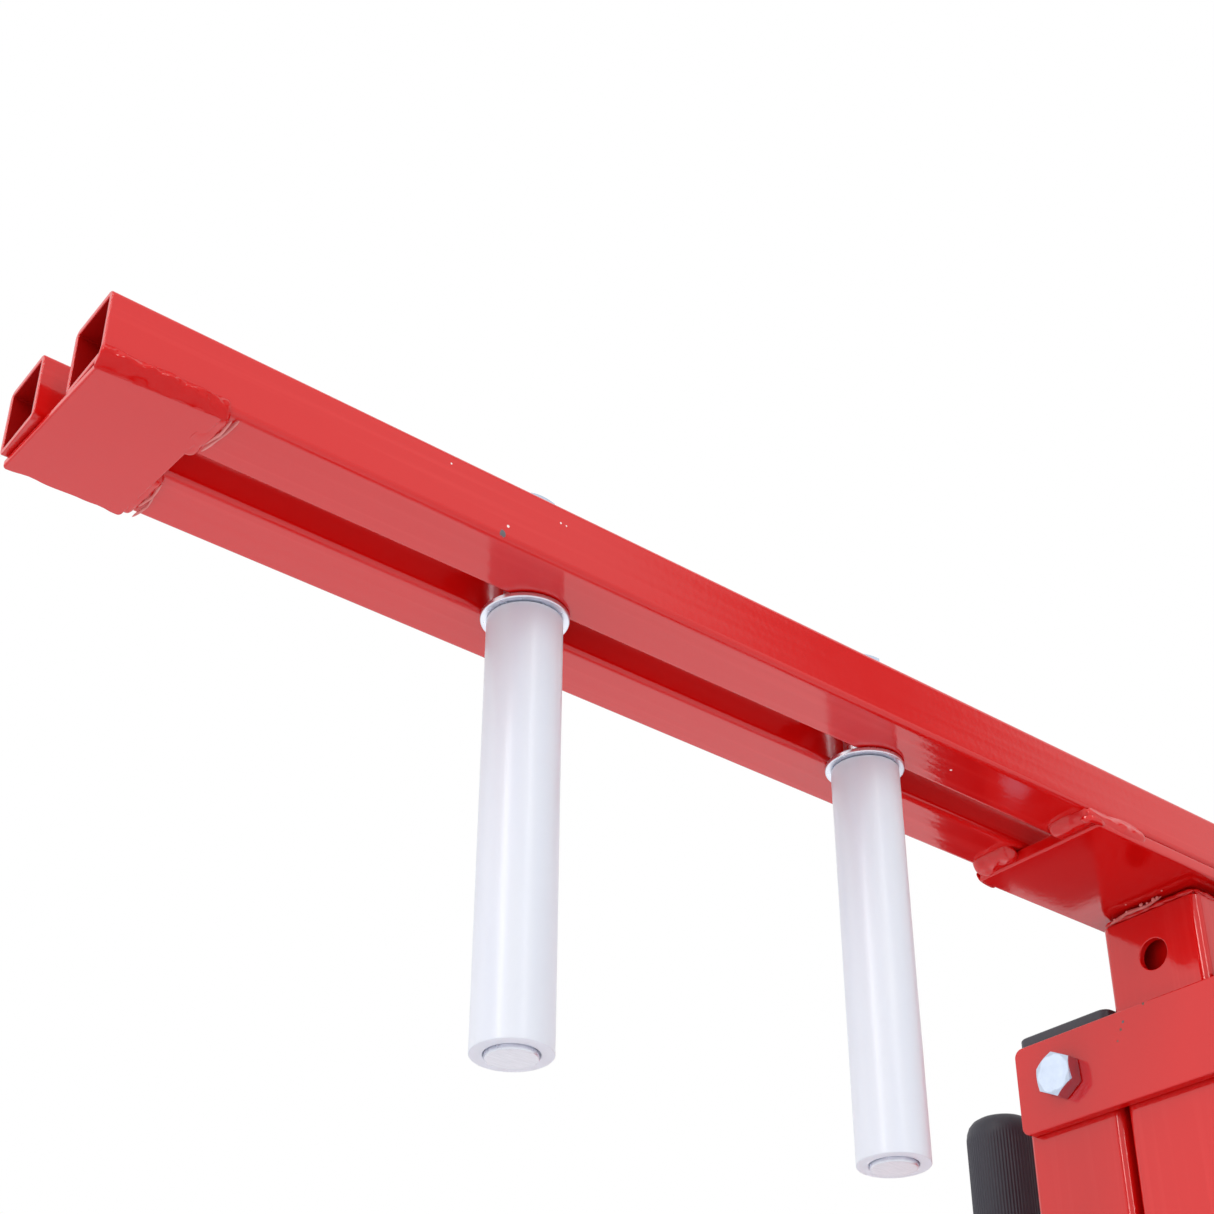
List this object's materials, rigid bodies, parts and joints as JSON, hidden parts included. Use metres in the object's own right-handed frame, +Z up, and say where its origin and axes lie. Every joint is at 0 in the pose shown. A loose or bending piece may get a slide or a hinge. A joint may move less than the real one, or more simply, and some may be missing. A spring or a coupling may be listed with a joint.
{
  "type": "post driver",
  "caption": "Standing post driver with a sliding ram post, a slotted twin-tube boom and sleeved guide pins beneath it.",
  "frame": {"origin": "centre of the footprint, on the floor", "axes": "+X forward along the boom, +Y to the left when facing forward, +Z up"},
  "size_m": [0.771, 0.4682, 1.199],
  "materials": {
    "red_paint": "gloss",
    "zinc_plate": "satin",
    "black_plastic": "satin",
    "grip_rubber": "ribbed matte",
    "foot_rubber": "matte",
    "clear_plastic": "clear, lightly frosted",
    "tyre_rubber": "matte",
    "hub_plastic": "satin"
  },
  "bodies": {
    "frame": {"mast_tube_left": "red_paint", "mast_tube_right": "red_paint", "base_plate": "red_paint", "cross_beam": "red_paint", "leg_left": "red_paint", "leg_right": "red_paint", "front_plate": "red_paint", "rear_plate": "red_paint", "lower_strap_front": "red_paint", "lower_strap_rear": "red_paint", "handle_left": "red_paint", "handle_right": "red_paint", "wheel_bracket_left": "red_paint", "wheel_bracket_right": "red_paint", "bolt_left": "zinc_plate", "bolt_right": "zinc_plate", "nut_left": "zinc_plate", "nut_right": "zinc_plate", "axle_bolt_left": "zinc_plate", "axle_bolt_right": "zinc_plate", "axle_nut_left": "zinc_plate", "axle_nut_right": "zinc_plate", "mast_cap_left": "black_plastic", "mast_cap_right": "black_plastic", "leg_cap_left_front": "black_plastic", "leg_cap_left_rear": "black_plastic", "leg_cap_right_front": "black_plastic", "leg_cap_right_rear": "black_plastic", "grip_left": "grip_rubber", "grip_right": "grip_rubber", "foot_left_front": "foot_rubber", "foot_left_rear": "foot_rubber", "foot_right_front": "foot_rubber", "foot_right_rear": "foot_rubber", "buffer": "foot_rubber"},
    "ram": {"ram_post": "red_paint", "saddle_plate": "red_paint", "boom_tube_left": "red_paint", "boom_tube_right": "red_paint", "end_plate": "red_paint"},
    "front_pin": {"pin_front": "zinc_plate", "pin_washer_front": "zinc_plate", "top_washer_front": "zinc_plate", "pin_nut_front": "zinc_plate", "lock_nut_front": "zinc_plate"},
    "front_sleeve": {"sleeve_front": "clear_plastic"},
    "rear_pin": {"pin_rear": "zinc_plate", "pin_washer_rear": "zinc_plate", "top_washer_rear": "zinc_plate", "pin_nut_rear": "zinc_plate", "lock_nut_rear": "zinc_plate"},
    "rear_sleeve": {"sleeve_rear": "clear_plastic"},
    "left_wheel": {"wheel_tyre_left": "tyre_rubber", "wheel_hub_left": "hub_plastic"},
    "right_wheel": {"wheel_tyre_right": "tyre_rubber", "wheel_hub_right": "hub_plastic"}
  },
  "joints": [
    {"name": "ram_lift", "type": "slide", "parent": "frame", "child": "ram", "axis": [0, 0, 1], "range_m": [0, 0.4]},
    {"name": "front_pin_slide", "type": "slide", "parent": "ram", "child": "front_pin", "axis": [1, 0, 0], "range_m": [-0.06, 0.11]},
    {"name": "rear_pin_slide", "type": "slide", "parent": "ram", "child": "rear_pin", "axis": [1, 0, 0], "range_m": [-0.08, 0.06]},
    {"name": "front_sleeve_spin", "type": "hinge", "parent": "front_pin", "child": "front_sleeve", "pos_m": [0.2094, 0, 1.07], "axis": [0, 0, 1], "continuous": true},
    {"name": "rear_sleeve_spin", "type": "hinge", "parent": "rear_pin", "child": "rear_sleeve", "pos_m": [0.0459, 0, 1.07], "axis": [0, 0, 1], "continuous": true},
    {"name": "left_wheel_spin", "type": "hinge", "parent": "frame", "child": "left_wheel", "pos_m": [-0.3356, 0.2123, 0.056], "axis": [0, 1, 0], "continuous": true},
    {"name": "right_wheel_spin", "type": "hinge", "parent": "frame", "child": "right_wheel", "pos_m": [-0.3356, -0.2123, 0.056], "axis": [0, 1, 0], "continuous": true}
  ]
}
